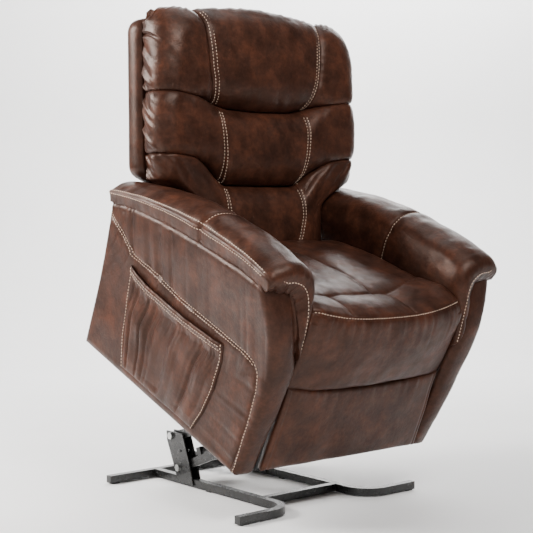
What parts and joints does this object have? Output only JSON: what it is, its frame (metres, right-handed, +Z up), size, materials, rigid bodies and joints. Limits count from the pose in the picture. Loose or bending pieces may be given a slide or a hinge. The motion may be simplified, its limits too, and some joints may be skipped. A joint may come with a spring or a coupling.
{
  "type": "lift recliner chair",
  "caption": "Powered lift recliner with leather seat, arms and pillowed back on a tubular floor base, with lift linkage, swing-out footrest and reclining back.",
  "frame": {"origin": "on the floor under the middle of the chair's overall width and depth in its raised pose", "axes": "+X to the sitter's left, the chair faces -Y, +Z up"},
  "size_m": [0.848, 0.9231, 1.4],
  "materials": {
    "black_steel": "gloss black powder coat",
    "zinc_steel": "bright zinc plate",
    "rod_steel": "polished",
    "black_plastic": "moulded, fine texture",
    "grey_plastic": "moulded",
    "leather": "soft semi-gloss, fine creases, tan double stitching",
    "plywood": "raw plywood",
    "webbing": "woven elastic",
    "backing": "black spun lining"
  },
  "bodies": {
    "base": {"base_rail_left": "black_steel", "base_rail_right": "black_steel", "base_cross_bars": "black_steel", "foot_caps": "black_plastic", "floor_glides": "black_plastic", "pivot_bracket_left": "black_steel", "pivot_bracket_right": "black_steel", "pivot_bolts": "zinc_steel", "pivot_nuts": "zinc_steel", "pivot_spacers": "zinc_steel", "lift_clevis": "black_steel"},
    "lower_links": {"lower_lift_links": "black_steel", "lift_torsion_tube": "black_steel"},
    "upper_links": {"upper_lift_links": "black_steel"},
    "lift_actuator": {"lift_motor": "grey_plastic", "lift_actuator_tube": "grey_plastic"},
    "lift_rod": {"lift_actuator_rod": "rod_steel"},
    "chair_body": {"chassis_rails": "black_steel", "chassis_cross_tubes": "black_steel", "lift_link_hangers": "black_steel", "lift_horns": "black_steel", "arm_mounts": "black_steel", "seat_frame": "black_steel", "seat_webbing": "webbing", "footrest_bearings": "zinc_steel", "footrest_guide_mounts": "zinc_steel", "actuator_mounts": "black_steel", "footrest_motor": "grey_plastic", "recline_motor": "grey_plastic", "control_box": "black_plastic", "arm_frames": "plywood", "side_panel_left": "leather", "side_panel_right": "leather", "arm_front_left": "leather", "arm_front_right": "leather", "arm_linings": "leather", "arm_pad_left": "leather", "arm_pad_right": "leather", "side_pocket": "leather", "rear_panel": "leather", "seat_cushion": "leather", "recline_hinges": "zinc_steel"},
    "footrest_arms": {"footrest_arms": "zinc_steel", "footrest_shaft": "zinc_steel"},
    "footrest_rockers": {"footrest_rockers": "zinc_steel"},
    "footrest_guides": {"footrest_guides": "zinc_steel"},
    "footrest_braces": {"footrest_braces": "zinc_steel"},
    "footrest": {"footrest_hinge_plates": "zinc_steel", "footrest_board": "plywood", "footrest_pad": "leather"},
    "footrest_rod": {"footrest_actuator_rod": "rod_steel"},
    "recline_rod": {"recline_actuator_rod": "rod_steel"},
    "back": {"back_frame": "black_steel", "back_shell": "leather", "back_core": "backing", "head_pillow": "leather", "middle_bolster": "leather", "lower_bolster": "leather", "side_wing_left": "leather", "side_wing_right": "leather"}
  },
  "joints": [
    {"name": "lift", "type": "hinge", "parent": "base", "child": "lower_links", "pos_m": [0, 0.30855, 0.051], "axis": [1, 0, 0], "range_deg": [0, 18.47]},
    {"name": "chair_body_tilt", "type": "hinge", "parent": "lower_links", "child": "chair_body", "pos_m": [0, -0.11916, 0.22032], "axis": [1, 0, 0], "range_deg": [-43, 0]},
    {"name": "upper_link_swing", "type": "hinge", "parent": "base", "child": "upper_links", "pos_m": [0, 0.34655, 0.142], "axis": [1, 0, 0], "range_deg": [0, 18.8]},
    {"name": "lift_actuator_swing", "type": "hinge", "parent": "base", "child": "lift_actuator", "pos_m": [0, 0.41255, 0.05], "axis": [1, 0, 0], "range_deg": [0, 12]},
    {"name": "lift_actuator_stroke", "type": "slide", "parent": "lift_actuator", "child": "lift_rod", "axis": [0, 0.9278, -0.3731], "range_m": [0, 0.037]},
    {"name": "footrest", "type": "hinge", "parent": "chair_body", "child": "footrest_arms", "pos_m": [0, -0.13655, 0.42671], "axis": [-1, 0, 0], "range_deg": [0, 90]},
    {"name": "footrest_rocker_pivot", "type": "hinge", "parent": "footrest_arms", "child": "footrest_rockers", "pos_m": [0, -0.03555, 0.24917], "axis": [1, 0, 0], "range_deg": [0, 102.5]},
    {"name": "footrest_board_pivot", "type": "hinge", "parent": "footrest_rockers", "child": "footrest", "pos_m": [0, -0.26533, 0.34873], "axis": [-1, 0, 0], "range_deg": [0, 102.5]},
    {"name": "footrest_guide_pivot", "type": "hinge", "parent": "chair_body", "child": "footrest_guides", "pos_m": [0, -0.09441, 0.46232], "axis": [-1, 0, 0], "range_deg": [0, 88]},
    {"name": "footrest_brace_pivot", "type": "hinge", "parent": "footrest_arms", "child": "footrest_braces", "pos_m": [0, -0.0202, 0.22515], "axis": [1, 0, 0], "range_deg": [0, 102.5]},
    {"name": "footrest_actuator_stroke", "type": "slide", "parent": "chair_body", "child": "footrest_rod", "axis": [0, -0.9128, -0.4083], "range_m": [0, 0.067]},
    {"name": "recline", "type": "hinge", "parent": "chair_body", "child": "back", "pos_m": [0, 0.21845, 0.65825], "axis": [-1, 0, 0], "range_deg": [0, 40]},
    {"name": "recline_actuator_stroke", "type": "slide", "parent": "chair_body", "child": "recline_rod", "axis": [0, -0.9128, -0.4083], "range_m": [0, 0.049]}
  ],
  "couplings": [
    {"joint": "chair_body_tilt", "follows": "lift", "ratio": -2.3048},
    {"joint": "upper_link_swing", "follows": "lift", "ratio": 1.0014},
    {"joint": "lift_actuator_swing", "follows": "lift", "ratio": 0.62235},
    {"joint": "lift_actuator_stroke", "follows": "lift", "m_per_rad": 0.10983},
    {"joint": "footrest_rocker_pivot", "follows": "footrest", "ratio": 1.1308},
    {"joint": "footrest_board_pivot", "follows": "footrest", "ratio": 1.1308},
    {"joint": "footrest_guide_pivot", "follows": "footrest", "ratio": 0.97154},
    {"joint": "footrest_brace_pivot", "follows": "footrest", "ratio": 1.1308},
    {"joint": "footrest_actuator_stroke", "follows": "footrest", "m_per_rad": 0.042258},
    {"joint": "recline_actuator_stroke", "follows": "recline", "m_per_rad": 0.069142}
  ]
}
